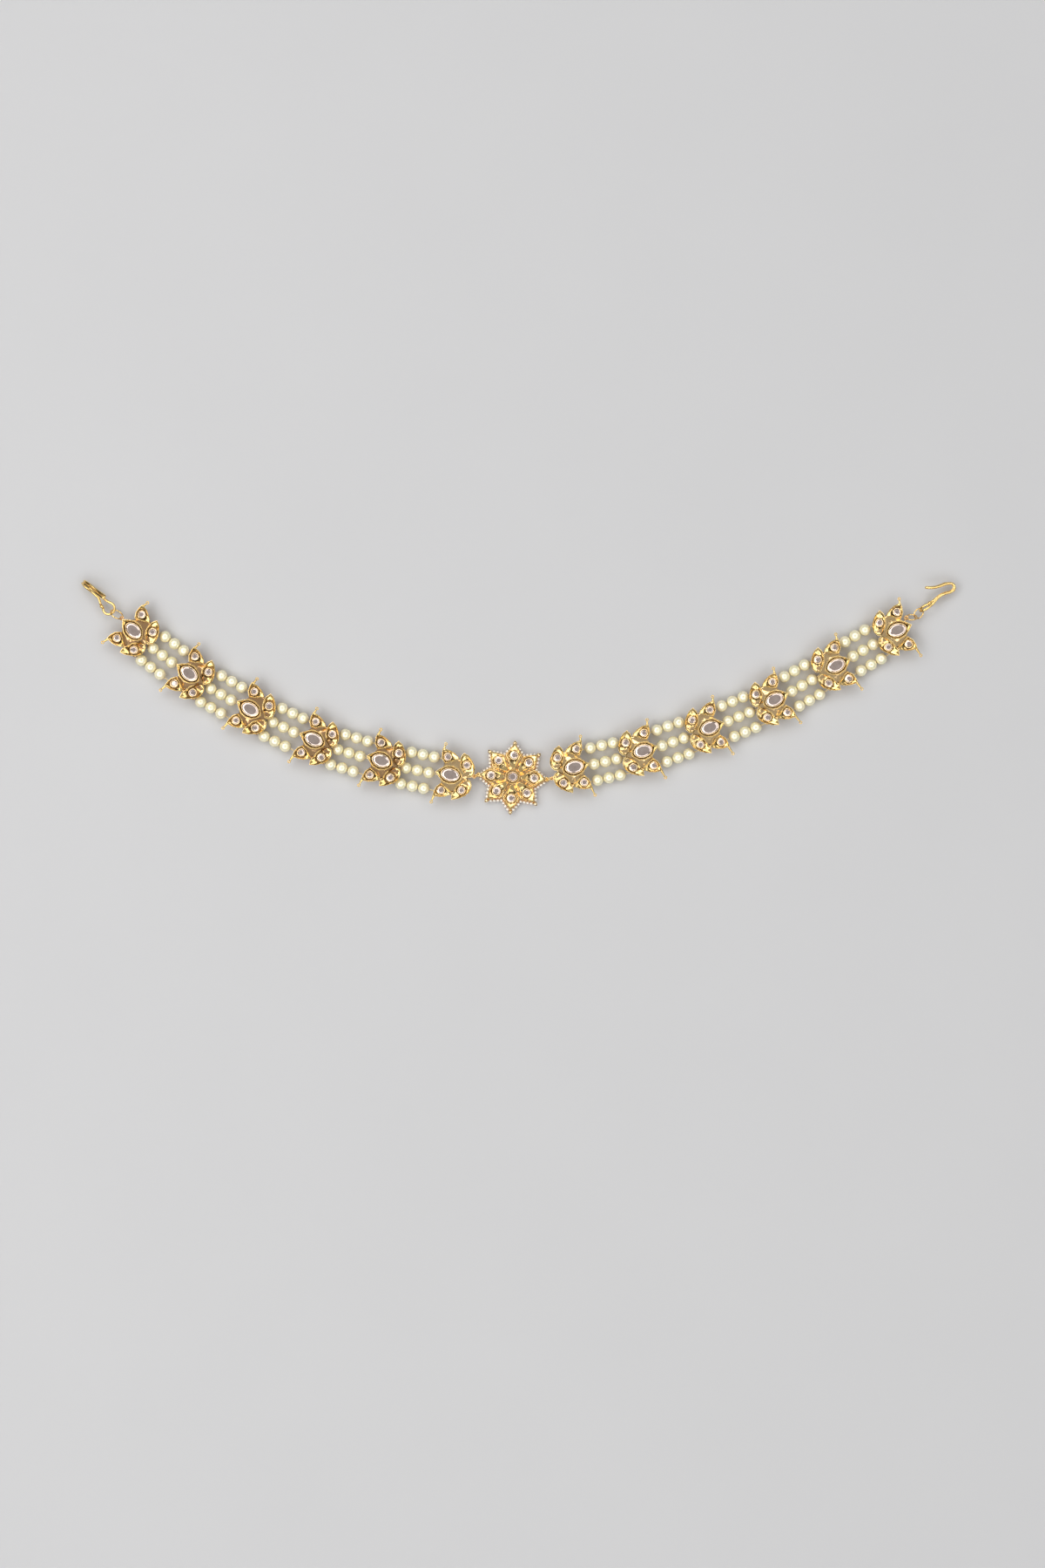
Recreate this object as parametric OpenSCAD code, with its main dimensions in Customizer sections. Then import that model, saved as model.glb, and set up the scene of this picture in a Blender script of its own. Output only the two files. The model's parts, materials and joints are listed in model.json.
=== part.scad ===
// Matha patti: a row of twelve stone-set flowers and a central star, joined by
// three strings of pearls, with a hook at each end. It lies flat, face up.
// +X runs along the row, +Y points to the side of the hooks and +Z is the face.
// The origin is under the middle of the star. All sizes are in millimetres.

/* [Pearls] */
// Diameter of one pearl
pearl_d = 3.9; // [3.4:0.1:4.6]
// Clear space between two pearls of a string
pearl_gap = 0.12; // [0.1:0.01:0.4]
// Pearls between two flowers, in each string
pearls_between = 3; // [2:1:4]
// Drilled hole of a pearl
pearl_bore_d = 0.8; // [0.7:0.05:1.2]
// Thread through the pearls
thread_d = 0.45; // [0.3:0.05:0.6]
// Clear space between two neighbouring strings
string_space = 1.8; // [1.2:0.1:2.4]
// How far the strings sit off the flowers' centre line, away from the hooks
string_drop = 0.3; // [0:0.1:0.8]

/* [Flowers] */
// Length of a flower along the row
flower_len = 13.2; // [12:0.1:15]
// Height of a flower across the row, without its pins
flower_h = 16.8; // [15.5:0.1:19]
// How far the first pearls reach in under a flower's ends
pearl_tuck = 0.5; // [0:0.1:0.8]
// Thickness of a flower's back plate
plate_t = 0.6; // [0.4:0.1:1]
// Height of a petal cup above the back plate
petal_h = 2.2; // [1.8:0.1:3]
// Height of the middle cup above the back plate
middle_h = 2.8; // [2.2:0.1:3.6]
// Width of a cup's polished rim
rim_w = 0.3; // [0.2:0.05:0.5]
// Width of a cup's foot, as a share of its rim's
foot_share = 0.88; // [0.8:0.01:1]
// Depth of the lip round a stone below its cup's rim
lip_depth = 0.7; // [0.4:0.1:1.1]
// Width of the lip round a stone
lip_w = 0.22; // [0.15:0.01:0.35]
// Height of the fold at a petal's point above its cup's rim
fold_h = 0.12; // [0:0.02:0.3]
// Depth of a stone's seat below the lip
seat_depth = 0.45; // [0.3:0.05:0.7]
// Outer diameter of the thread tubes soldered to the back
tube_d = 1.5; // [1.3:0.1:1.8]
// Bore of the thread tubes
tube_bore_d = 0.85; // [0.75:0.05:1.1]
// How far soldered pieces sink into each other
solder = 0.12; // [0.08:0.01:0.2]

/* [Stones] */
// Diameter of a petal's stone
petal_stone_d = 2.5; // [2.1:0.1:2.8]
// Length of a flower's middle stone
middle_stone_len = 6.2; // [5.4:0.1:6.8]
// Width of a flower's middle stone
middle_stone_w = 4.3; // [3.6:0.1:4.7]
// Height of a petal's stone
petal_stone_h = 0.8; // [0.6:0.05:1.2]
// Height of a middle stone
middle_stone_h = 1; // [0.8:0.05:1.4]
// Clear space round and under a stone in its seat
stone_gap = 0.06; // [0.04:0.01:0.12]

/* [Pins] */
// Thickness of an outer petal's pin at its end
pin_d = 0.5; // [0.4:0.05:0.8]
// Thickness of the pin at its root
pin_root_d = 1.1; // [0.8:0.05:1.4]
// Mean diameter of the eyelet at a pin's end
eyelet_d = 0.8; // [0.7:0.05:1.1]
// Wire of the eyelets
eyelet_wire_d = 0.36; // [0.25:0.01:0.45]

/* [Star] */
// Radius of the star at its tips, without the seed pearls
star_r = 11.6; // [10.5:0.1:13]
// Turn of the star about its own axis
star_turn = -4; // [-10:1:10]
// Thickness of the star's back plate
star_plate_t = 0.5; // [0.4:0.1:0.8]
// Height of the star's petals above its back plate
star_petal_h = 2.9; // [2.4:0.1:3.6]
// Width of a star petal's foot, as a share of its rim's
star_foot_share = 0.6; // [0.55:0.01:0.64]
// Height of the star's middle cup above its back plate
star_middle_h = 3.2; // [2.6:0.1:4]
// Diameter of a star petal's stone
star_stone_d = 2.7; // [2.2:0.1:3]
// Diameter of the star's middle stone
star_middle_stone_d = 3.5; // [3:0.1:3.8]
// Diameter of a seed pearl of the star's edging
seed_d = 1.25; // [1:0.05:1.5]
// How far the edging sits off the star's middle, away from the hooks
edging_shift = 0.35; // [0:0.05:0.4]
// Clear space between the star's tips and the flowers beside it
star_space = 1.9; // [1.6:0.1:2.6]

/* [Eyes and links] */
// Mean diameter of the eyes beside the star
eye_d = 1.05; // [1:0.05:1.2]
// Mean diameter of the eyes that the hooks' links pass through
end_eye_d = 1.25; // [1.2:0.05:1.5]
// Wire of the eyes
eye_wire_d = 0.4; // [0.3:0.05:0.5]
// Wire of the rings beside the star
ring_wire_d = 0.36; // [0.3:0.02:0.42]
// Wire of the links at the hooks
link_wire_d = 0.44; // [0.36:0.02:0.5]
// Mean diameter of the left hook's link
left_link_d = 4.5; // [4.1:0.1:5.5]
// Mean diameter of the right hook's two links
right_link_d = 3.7; // [3.4:0.1:4.6]

/* [Hooks] */
// Wire of the hooks, bent double
hook_wire_d = 0.9; // [0.7:0.05:1.1]
// Distance between the two strands' middles
strand_pitch = 0.97; // [0.95:0.01:1.2]
// Mean diameter of a hook's eye
hook_eye_d = 4.1; // [3.7:0.1:4.6]
// Distance from the middle of the eye to the end of the bend
hook_len = 12.9; // [11.8:0.1:14]
// Mean radius of the bend
bend_r = 1.5; // [1.3:0.1:1.8]
// How far the eye sits off the middle of the shank
eye_side = 1; // [0.8:0.1:1.2]

/* [Hidden] */

$fn = 48;
gold = "goldenrod";
clear_stone = "rosybrown";
pearl_white = "ivory";

// The route of the row, from the star outwards. For each flower: the rise of
// the stretch that leads to it and the flower's own turn, on the left and on
// the right of the star, in degrees.
route = [
    [1, 6, 8.5, 2.5],
    [11, 5.5, 13, 1],
    [17, 4.5, 19, -2],
    [25, 5, 23, 0],
    [30, 4, 29, -5],
    [37, 6, 30.5, -11]];
LEFT = 0;
RIGHT = 1;
flowers_a_side = len(route);

pearl_pitch = pearl_d + pearl_gap;
string_pitch = pearl_d + string_space;
flower_pitch = flower_len - 2 * pearl_tuck + pearls_between * pearl_pitch;
reach_in = 0.485 * flower_len;
star_step = star_r + star_space + reach_in;

// Heights above the surface that the row lies on
tube_z = pearl_d / 2;
plate_z = tube_z + tube_d / 2 - solder;
plate_top = plate_z + plate_t;
eye_z = plate_z + plate_t / 2;
star_top = star_plate_t + star_petal_h;
edging_z = star_plate_t + stone_gap + seed_d / 2;

star_eye_r = star_r + 0.15;
star_eye_z = star_top - 0.35;

tube_len = 0.68 * flower_len;
thread_out = 0.3;
thread_end = 0.6;
// How far the pearls of the top, the middle and the bottom string have slid
// outwards, as a share of their free way, on the left and on the right
slid = [[0, 0.7, 1], [0.35, 0.25, 0.15]];

// Outlines in a flower's own frame, counter-clockwise: x as a share of
// flower_len, towards the star, and y as a share of half of flower_h.
leaf_outline = [
    [0.33, 0.015], [0.42, 0.07], [0.48, 0.23], [0.485, 0.39], [0.45, 0.57],
    [0.37, 0.75], [0.26, 0.92], [0.13, 1], [0.07, 0.82], [0.065, 0.6],
    [0.1, 0.39], [0.2, 0.17]];
leaf_seat = [0.25, 0.53];
leaf_start = 270;
leaf_recess = [
    [0.21, 0.26], [0.27, 0.13], [0.34, 0.085], [0.4, 0.155], [0.42, 0.3],
    [0.31, 0.275]];
// How far the lower leaf's point leans outwards, and from which height on
lower_lean = 0.2;
lean_from = 0.6;
pinned_outline = [
    [-0.32, 0.39], [-0.145, 0.53], [0.03, 0.7], [-0.02, 0.8], [-0.12, 0.905],
    [-0.26, 0.985], [-0.44, 1], [-0.45, 0.82], [-0.42, 0.6]];
pinned_seat = [-0.28, 0.695];
pinned_start = 262;
middle_outline = [
    [-0.515, 0], [-0.4, -0.18], [-0.26, -0.34], [-0.1, -0.385], [0.05, -0.31],
    [0.175, -0.13], [0.21, 0], [0.175, 0.13], [0.05, 0.31], [-0.1, 0.385],
    [-0.26, 0.34], [-0.4, 0.18]];
middle_seat = [-0.12, 0];
plate_outline = [
    [-0.415, 0], [-0.31, 0.43], [-0.36, 0.72], [-0.18, 0.82], [0.045, 0.6],
    [0.21, 0.78], [0.38, 0.55], [0.4, 0.24], [0.335, 0]];
// How much of a cup's depth its leaf keeps beside the stone
hollow_share = 0.15;
pin_root = [-0.42, 0.92];
// The ends of the upper and the lower pin, on the left and on the right of the star
pin_ends = [
    [[-0.4, 1.2], [-0.46, -1.25]],
    [[-0.46, 1.17], [-0.48, -1.31]]];
hand_turn = 2.5;

// A star petal, from the star's middle outwards, as shares of star_r
star_petal_outline = [
    [0.25, -0.04], [0.43, -0.13], [0.63, -0.24], [0.82, -0.14], [1, 0],
    [0.82, 0.14], [0.63, 0.24], [0.43, 0.13], [0.25, 0.04]];
star_seat = [0.64, 0];
star_start = 200;
star_points = 8;
star_notch = 0.7;

// Where a link's eye stands on a flower, as a share of its length and height
end_eye = [[-0.575, 0], [-0.47, 0.35]];
star_eye = [[0.5, 0.13], [0.515, -0.24]];

// Headings of the links and of the hooks, in degrees from +X, and how far each
// hook's leg is turned from upright, as the hooks happen to lie
left_link_heading = 143.5;
right_link_headings = [4, 42.5];
hook_heading = [140, 34];
left_hook_lean = -11;
right_hook_roll = -72;

function scaled(p, len, h) = [p[0] * len, p[1] * h / 2];
function in_flower(points) = [for (p = points) scaled(p, flower_len, flower_h)];
function mirrored(points) = [for (i = [len(points) - 1:-1:0]) [points[i][0], -points[i][1]]];
function leaning(points) = [for (p = points) [p[0] - lower_lean * max(0, p[1] - lean_from), p[1]]];
function turned(p, a) = [p[0] * cos(a) - p[1] * sin(a), p[0] * sin(a) + p[1] * cos(a)];
function turned_about(points, c, a) = [for (p = points) c + turned(p - c, a)];
function unit(v) = v / norm(v);
function flat(p, z) = [for (q = p) [q[0], q[1], z]];

// The left half is drawn as it lies; the right half is drawn as a left half and
// mirrored. Flower 1 of a side is the one beside the star.
function rise(side, k) = route[k - 1][side == LEFT ? 0 : 2];
function own_turn(side, k) = route[k - 1][side == LEFT ? 1 : 3];
function step(k) = k == 1 ? star_step : flower_pitch;
function spot(side, k) = k == 0 ? [0, 0]
    : spot(side, k - 1) + step(k) * [-cos(rise(side, k)), sin(rise(side, k))];
function heading(side, k) = k < flowers_a_side
    ? (rise(side, k) + rise(side, k + 1)) / 2
    : 1.5 * rise(side, k) - rise(side, k - 1) / 2;
function on_row(side, k, p) = spot(side, k) + turned(p, -heading(side, k));
function on_flower(side, k, p) =
    spot(side, k) + turned(scaled(p, flower_len, flower_h),
                           -heading(side, k) - own_turn(side, k));
function as_seen(side, p) = side == LEFT ? p : [-p[0], p[1]];

function tube_point(side, k, row, x) = on_row(side, k, [x, row * string_pitch - string_drop]);

module one_side(side) {
    if (side == LEFT) children();
    else mirror([1, 0, 0]) children();
}

// A closed skin over rings of equal length, each counter-clockwise about the
// way from the first ring to the last.
module skin(rings, closed = false) {
    n = len(rings[0]);
    count = len(rings);
    points = [for (ring = rings) for (p = ring) p];
    sides = [for (i = [0:count - (closed ? 1 : 2)]) for (k = [0:n - 1])
        let (a = i * n + k, b = ((i + 1) % count) * n + k,
             c = ((i + 1) % count) * n + (k + 1) % n, d = i * n + (k + 1) % n)
        for (t = [[a, b, c], [a, c, d]]) t];
    caps = closed ? [] : [[for (k = [0:n - 1]) k],
                          [for (k = [n - 1:-1:0]) (count - 1) * n + k]];
    polyhedron(points, concat(sides, caps), convexity = 6);
}

function oval(c, rx, ry, n, start) =
    [for (k = [0:n - 1]) c + [rx * cos(start + 360 * k / n), ry * sin(start + 360 * k / n)]];

// How far each point of an outline reaches out: 0 beside the stone, 1 at the
// outline's far points.
function reaches(outline, c) =
    let (r = [for (p = outline) norm(p - c)], low = min(r), span = max(r) - low)
    [for (v = r) span < 0.1 ? 0.5 : pow((v - low) / span, 3)];

// A cup for one stone: a flared wall, a polished rim, a leaf that is folded up
// towards the outline's points and hollow beside the stone, the lip round the
// stone, and the stone's seat.
module cup(outline, c, rx, ry, start, z, h, foot_size = foot_share) {
    n = len(outline);
    rim_z = z + h;
    lip_z = rim_z - lip_depth;
    loose = stone_gap / cos(180 / n);
    grow = 1 / cos(180 / n);
    inner = [for (p = outline) p + rim_w * unit(c - p)];
    foot = [for (p = outline) c + foot_size * (p - c)];
    lip = oval(c, rx * grow + loose + lip_w, ry * grow + loose + lip_w, n, start);
    reach = reaches(outline, c);
    fold = [for (i = [0:n - 1]) let (m = (inner[i] + lip[i]) / 2)
        [m[0], m[1], lip_z + hollow_share * lip_depth * (1 - reach[i])
                     + (lip_depth + fold_h) * reach[i]]];
    skin([flat(foot, z - solder),
          flat(outline, rim_z),
          flat(inner, rim_z),
          fold,
          flat(lip, lip_z),
          flat(oval(c, rx * grow + loose, ry * grow + loose, n, start), lip_z),
          flat(oval(c, rx * grow + loose, ry * grow + loose, n, start), lip_z - seat_depth)]);
}

function seat_z(z, h) = z + h - lip_depth - seat_depth + stone_gap;

// A small cut stone: flat back, sixteen facets and a table
module round_stone(d, h, sides = 8) {
    skin_between(oval([0, 0], d / 2, d / 2, sides, 0),
                 oval([0, 0], 0.26 * d, 0.26 * d, sides, 180 / sides), h);
}

module skin_between(low, high, h) {
    skin([flat(low, 0), flat(high, h)]);
}

// A long cut stone with two rows of facets below its table
module oval_stone(len_x, len_y, h) {
    n = 12;
    skin([flat(oval([0, 0], len_x / 2, len_y / 2, n, 0), 0),
          flat(oval([0, 0], 0.43 * len_x, 0.42 * len_y, n, 180 / n), 0.6 * h),
          flat(oval([0, 0], 0.33 * len_x, 0.29 * len_y, n, 0), h)]);
}

module ring_torus(mean_d, wire_d) {
    rotate_extrude() translate([mean_d / 2, 0]) circle(d = wire_d, $fn = 24);
}

function wobble(number, petal) = hand_turn * sin(137 * number + 71 * petal);
function petal_seats() = [
    scaled(leaf_seat, flower_len, flower_h),
    scaled(pinned_seat, flower_len, flower_h),
    scaled([pinned_seat[0], -pinned_seat[1]], flower_len, flower_h),
    scaled([leaf_seat[0], -leaf_seat[1]], flower_len, flower_h)];

module petal(number, i) {
    is_leaf = i == 0 || i == 3;
    upper = i < 2;
    drawn = in_flower(!is_leaf ? pinned_outline : upper ? leaf_outline : leaning(leaf_outline));
    start = is_leaf ? leaf_start : pinned_start;
    c = petal_seats()[i];
    outline = turned_about(upper ? drawn : mirrored(drawn), c, wobble(number, i));
    n = len(outline);
    cup(outline, c, petal_stone_d / 2, petal_stone_d / 2,
        upper ? start : -start - 360 * (n - 1) / n, plate_top, petal_h);
}

module leaf_pocket(number, i) {
    c = petal_seats()[i];
    drawn = in_flower(leaf_recess);
    translate([0, 0, plate_top]) linear_extrude(petal_h + 1)
        polygon(turned_about(i == 0 ? drawn : mirrored(drawn), c, wobble(number, i)));
}

// The back plate of a flower, mirrored about the flower's own axis
module back_plate() {
    half = in_flower(plate_outline);
    other = [for (i = [len(half) - 2:-1:1]) [half[i][0], -half[i][1]]];
    translate([0, 0, plate_z]) linear_extrude(plate_t) polygon(concat(half, other));
}

// A straight arm, round in section, from one thickness to another
module arm(from, to, from_d, to_d, z) {
    run = to - from;
    translate([from[0], from[1], z]) rotate([0, 0, atan2(run[1], run[0])])
        rotate([0, 90, 0]) cylinder(h = norm(run), d1 = from_d, d2 = to_d, $fn = 24);
}

module pin(end) {
    root = scaled([pin_root[0], sign(end[1]) * pin_root[1]], flower_len, flower_h);
    tip = scaled(end, flower_len, flower_h);
    away = unit(tip - root);
    arm(root, tip - away * (eyelet_d / 2), pin_root_d, pin_d, plate_top + pin_d / 2);
    translate([tip[0], tip[1], plate_top + pin_d / 2]) ring_torus(eyelet_d, eyelet_wire_d);
}

module link_eye(at, mean_d) {
    c = scaled(at, flower_len, flower_h);
    inward = unit(scaled([0.3 * sign(at[0]), 0.2 * at[1]], flower_len, flower_h) - c);
    translate([c[0], c[1], eye_z]) ring_torus(mean_d, eye_wire_d);
    arm(c + inward * (mean_d / 2), c + inward * (mean_d / 2 + 2.2), eye_wire_d, eye_wire_d,
        eye_z);
}

// The gold of one flower, soldered into one piece
module flower_gold(side, k, number) {
    place = spot(side, k);
    one_side(side) translate([place[0], place[1], 0]) rotate([0, 0, -heading(side, k)])
    difference() {
        union() {
            rotate([0, 0, -own_turn(side, k)]) {
                back_plate();
                difference() {
                    union() for (i = [0:3]) petal(number, i);
                    for (i = [0, 3]) leaf_pocket(number, i);
                }
                cup(in_flower(middle_outline), scaled(middle_seat, flower_len, flower_h),
                    middle_stone_len / 2, middle_stone_w / 2, 180, plate_top, middle_h);
                for (end = pin_ends[side]) pin(end);
                if (k == flowers_a_side) link_eye(end_eye[side], end_eye_d);
                if (k == 1) link_eye(star_eye[side], eye_d);
            }
            for (row = [-1:1]) thread_tube(row, tube_d, tube_len);
        }
        for (row = [-1:1]) thread_tube(row, tube_bore_d, tube_len + 2);
    }
}

module thread_tube(row, d, length) {
    translate([-length / 2, row * string_pitch - string_drop, tube_z])
        rotate([0, 90, 0]) cylinder(h = length, d = d);
}

module middle_stone(side, k) {
    place = spot(side, k);
    c = scaled(middle_seat, flower_len, flower_h);
    color(clear_stone) one_side(side) translate([place[0], place[1], seat_z(plate_top, middle_h)])
        rotate([0, 0, -heading(side, k) - own_turn(side, k)]) translate([c[0], c[1], 0])
            oval_stone(middle_stone_len, middle_stone_w, middle_stone_h);
}

module petal_stones(side, k, number) {
    place = spot(side, k);
    color(clear_stone) one_side(side) translate([place[0], place[1], seat_z(plate_top, petal_h)])
        rotate([0, 0, -heading(side, k) - own_turn(side, k)])
            for (i = [0:3]) translate([petal_seats()[i][0], petal_seats()[i][1], 0])
                rotate([0, 0, 40 * number + 25 * i]) round_stone(petal_stone_d, petal_stone_h);
}

module flower(side, k, number) {
    color(gold) flower_gold(side, k, number);
}

// Ends of the straight stretch of a string between flowers k and k + 1
function stretch(side, k, row) = [
    tube_point(side, k, row, -tube_len / 2 - thread_out),
    tube_point(side, k + 1, row, tube_len / 2 + thread_out)];

module pearl() {
    rotate([0, 90, 0]) difference() {
        sphere(d = pearl_d);
        cylinder(h = pearl_d + 1, d = pearl_bore_d, center = true);
    }
}

module pearl_string(side, row) {
    color(pearl_white) one_side(side) for (k = [1:flowers_a_side - 1]) {
        ends = stretch(side, k, row);
        along = unit(ends[1] - ends[0]);
        free_way = (norm(ends[1] - ends[0]) - pearls_between * pearl_pitch) / 2;
        middle = (ends[0] + ends[1]) / 2 + along * slid[side][1 - row] * free_way;
        for (i = [0:pearls_between - 1]) {
            p = middle + along * (i - (pearls_between - 1) / 2) * pearl_pitch;
            translate([p[0], p[1], tube_z]) rotate([0, 0, atan2(along[1], along[0])]) pearl();
        }
    }
}

function tangent(p, i) =
    unit(p[min(i + 1, len(p) - 1)] - p[max(i - 1, 0)]);
// Normals carried along a path without twist, one pair of cross axes a point
function carried(p, normal, i = 0, out = []) = i == len(p) ? out
    : let (t = tangent(p, i), m = unit(normal - (normal * t) * t))
      carried(p, m, i + 1, concat(out, [[m, cross(t, m)]]));

module wire(path, d, normal, sides) {
    axes = carried(path, normal);
    skin([for (i = [0:len(path) - 1]) [for (k = [0:sides - 1])
        path[i] + d / 2 * (cos(360 * k / sides) * axes[i][0] + sin(360 * k / sides) * axes[i][1])]]);
}

module thread(side, row) {
    inner = [for (k = [2:flowers_a_side - 1]) for (end = [1, -1])
        tube_point(side, k, row, end * (tube_len / 2 + thread_out))];
    route_points = concat(
        [tube_point(side, 1, row, tube_len / 2 - thread_end),
         tube_point(side, 1, row, -tube_len / 2 - thread_out)],
        inner,
        [tube_point(side, flowers_a_side, row, tube_len / 2 + thread_out),
         tube_point(side, flowers_a_side, row, -tube_len / 2 + thread_end)]);
    color("wheat") one_side(side) wire(flat(route_points, tube_z), thread_d, [0, 0, 1], 8);
}

function polar(r, a) = [r * cos(a), r * sin(a)];

// The star lies on its back plate
module star() {
    n = 2 * star_points;
    petal_points = [for (p = star_petal_outline) p * star_r];
    seat = star_seat * star_r;
    color(gold) rotate([0, 0, star_turn]) {
        linear_extrude(star_plate_t) polygon([for (i = [0:n - 1])
            turned(edging_corner(i), -star_turn)]);
        for (i = [0:star_points - 1]) rotate([0, 0, i * 360 / star_points])
            cup(petal_points, seat, star_stone_d / 2, star_stone_d / 2, star_start,
                star_plate_t, star_petal_h, star_foot_share);
        cup(oval([0, 0], 0.225 * star_r, 0.225 * star_r, 12, 0), [0, 0],
            star_middle_stone_d / 2, star_middle_stone_d / 2, 0, star_plate_t, star_middle_h);
        for (a = [0, 180]) translate([star_eye_r * cos(a), 0, star_eye_z])
            ring_torus(eye_d, eye_wire_d);
    }
}

module star_petal_stones() {
    color(clear_stone) rotate([0, 0, star_turn])
        for (i = [0:star_points - 1]) rotate([0, 0, i * 360 / star_points])
            translate([star_seat[0] * star_r, 0, seat_z(star_plate_t, star_petal_h)])
                rotate([0, 0, 33 * i]) round_stone(star_stone_d, petal_stone_h);
}

module star_middle_stone() {
    color(clear_stone) translate([0, 0, seat_z(star_plate_t, star_middle_h)])
        round_stone(star_middle_stone_d, middle_stone_h, 10);
}

// The edging follows the star's outline: a plain cord as thick as its pearls,
// lying on the rim of the back plate
function edging_r(i) = i % 2 == 0 ? star_r + 0.4 * seed_d
                                  : star_notch * star_r + 0.4 * seed_d;
function edging_corner(i) =
    polar(edging_r(i), star_turn + i * 180 / star_points) - [0, edging_shift];

module seed_pearl_edging() {
    n = 2 * star_points;
    sides = 8;
    corners = [for (i = [0:n - 1]) edging_corner(i)];
    points = [for (i = [0:n - 1]) for (share = [0, 0.5])
        corners[i] * (1 - share) + corners[(i + 1) % n] * share];
    count = len(points);
    rings = [for (i = [0:count - 1])
        let (before = unit(points[i] - points[(i + count - 1) % count]),
             after = unit(points[(i + 1) % count] - points[i]),
             along = unit(before + after),
             out = [along[1], -along[0]],
             widen = 1 / (along * after))
        [for (k = [0:sides - 1]) let (a = 360 * k / sides)
            [points[i][0] + seed_d / 2 * widen * cos(a) * out[0],
             points[i][1] + seed_d / 2 * widen * cos(a) * out[1],
             edging_z - seed_d / 2 * sin(a)]]];
    color(pearl_white) skin(rings, closed = true);
}

// A ring through two points, tilted about the line between them: tilt 90 is
// upright and tilt 0 is flat.
module ring_through(p, q, wire_d, tilt) {
    x = unit(q - p);
    level = unit(cross([0, 0, 1], x));
    upright = cross(x, level);
    y = cos(tilt) * level + sin(tilt) * upright;
    z = cross(x, y);
    c = (p + q) / 2;
    multmatrix([[x[0], y[0], z[0], c[0]],
                [x[1], y[1], z[1], c[1]],
                [x[2], y[2], z[2], c[2]],
                [0, 0, 0, 1]]) ring_torus(norm(q - p), wire_d);
}

function raised(p, z) = [p[0], p[1], z];
function star_side_eye(side) = raised(as_seen(side, on_flower(side, 1, star_eye[side])), eye_z);
function star_tip_eye(side) =
    raised(polar(star_eye_r, star_turn + (side == LEFT ? 180 : 0)), star_eye_z);
function end_eye_at(side) =
    raised(as_seen(side, on_flower(side, flowers_a_side, end_eye[side])), eye_z);

module star_ring(side) {
    color(gold) ring_through(star_side_eye(side), star_tip_eye(side), ring_wire_d, 70);
}

// Distance from the middle of a hook's eye to the link that it hangs on
link_hold = hook_eye_d / 2 - hook_wire_d / 2 - link_wire_d / 2 - 0.22;
link_overlap = link_wire_d + 0.3;
left_hook_z = 2.45;
right_hook_z = hook_eye_d / 2 * sin(-right_hook_roll) + hook_wire_d / 2;

function way(angle) = [cos(angle), sin(angle), 0];
left_link_end = raised(end_eye_at(LEFT) + left_link_d * way(left_link_heading), left_hook_z);
left_hook_eye = left_link_end + link_hold * way(left_link_heading);
inner_link_end = raised(end_eye_at(RIGHT) + right_link_d * way(right_link_headings[0]),
                        (eye_z + right_hook_z) / 2);
outer_link_start = inner_link_end - link_overlap * way(right_link_headings[0]);
outer_link_end = raised(outer_link_start + right_link_d * way(right_link_headings[1]),
                        right_hook_z);
right_hook_eye = outer_link_end + link_hold * way(right_link_headings[1]);

module link(from, to, tilt) {
    color(gold) ring_through(from, to, link_wire_d, tilt);
}

// A hook in its own frame: the eye's middle at the origin, the shank along +x
// and beside the eye, the leg bent over towards +z. Both profiles are shares
// of hook_len along the shank and of bend_r above it.
shank_profile = [[0.25, 0.15], [0.39, 0.5], [0.52, 0.6], [0.66, 0.35], [0.78, -0.05]];
leg_profile = [[0.78, 2.25], [0.63, 2.55], [0.5, 2.9], [0.39, 3.4], [0.3, 3.95]];
leg_reach = [1.2, 1];
bend_angles = [-75, -38, 0, 38, 75];
eye_ball_r = 0.7;

function across(lean) = [0, cos(lean), -sin(lean)];
function over(lean) = [0, sin(lean), cos(lean)];
function beside_eye(x, h, lean) = [[x, -eye_side, 0] + h * over(lean), across(lean)];
function pair_path(lean, reach) = concat(
    [for (i = [0:len(shank_profile) - 1]) let (q = shank_profile[i])
        beside_eye(q[0] * hook_len, q[1] * bend_r, lean * min(1, i / 3))],
    [for (a = bend_angles)
        beside_eye(hook_len - hook_wire_d / 2 - bend_r * (1 - cos(a)),
                   bend_r * (0.85 + sin(a)), lean)],
    [for (q = leg_profile)
        beside_eye((leg_profile[0][0] - reach * (leg_profile[0][0] - q[0])) * hook_len,
                   q[1] * bend_r, lean)]);

module hook(lean, reach) {
    pair = pair_path(lean, reach);
    count = len(pair);
    half = strand_pitch / 2;
    last = pair[count - 1];
    tip_way = unit(last[0] - pair[count - 2][0]);
    eye_r = hook_eye_d / 2;
    ball = [eye_r + 0.35, 1.05, 0];
    path = concat(
        [for (a = [30:25.5:285]) eye_r * way(a)],
        [[0.55 * shank_profile[0][0] * hook_len, -eye_side - half - 0.12, 0]],
        [for (q = pair) q[0] - half * q[1]],
        [for (a = [-45, 0, 45]) last[0] + half * (cos(a) * tip_way + sin(a) * last[1])],
        [for (i = [count - 1:-1:1]) pair[i][0] + half * pair[i][1]],
        [[0.31 * hook_len, 0.1, 0.25 * bend_r], ball + [0.4, -0.1, 0]]);
    wire(path, hook_wire_d, [0, 0, 1], 8);
    translate(ball) skin([for (a = [-75:30:75]) [for (k = [0:9])
        eye_ball_r * [cos(a) * cos(36 * k + 9), cos(a) * sin(36 * k + 9), sin(a)]]]);
}

module placed_hook(side, at, low_z, roll, lean) {
    dip = asin((at[2] - low_z) / hook_len);
    color(gold) translate(at) rotate([0, 0, hook_heading[side]]) rotate([0, dip, 0])
        rotate([roll, 0, 0]) hook(lean, leg_reach[side]);
}

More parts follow.
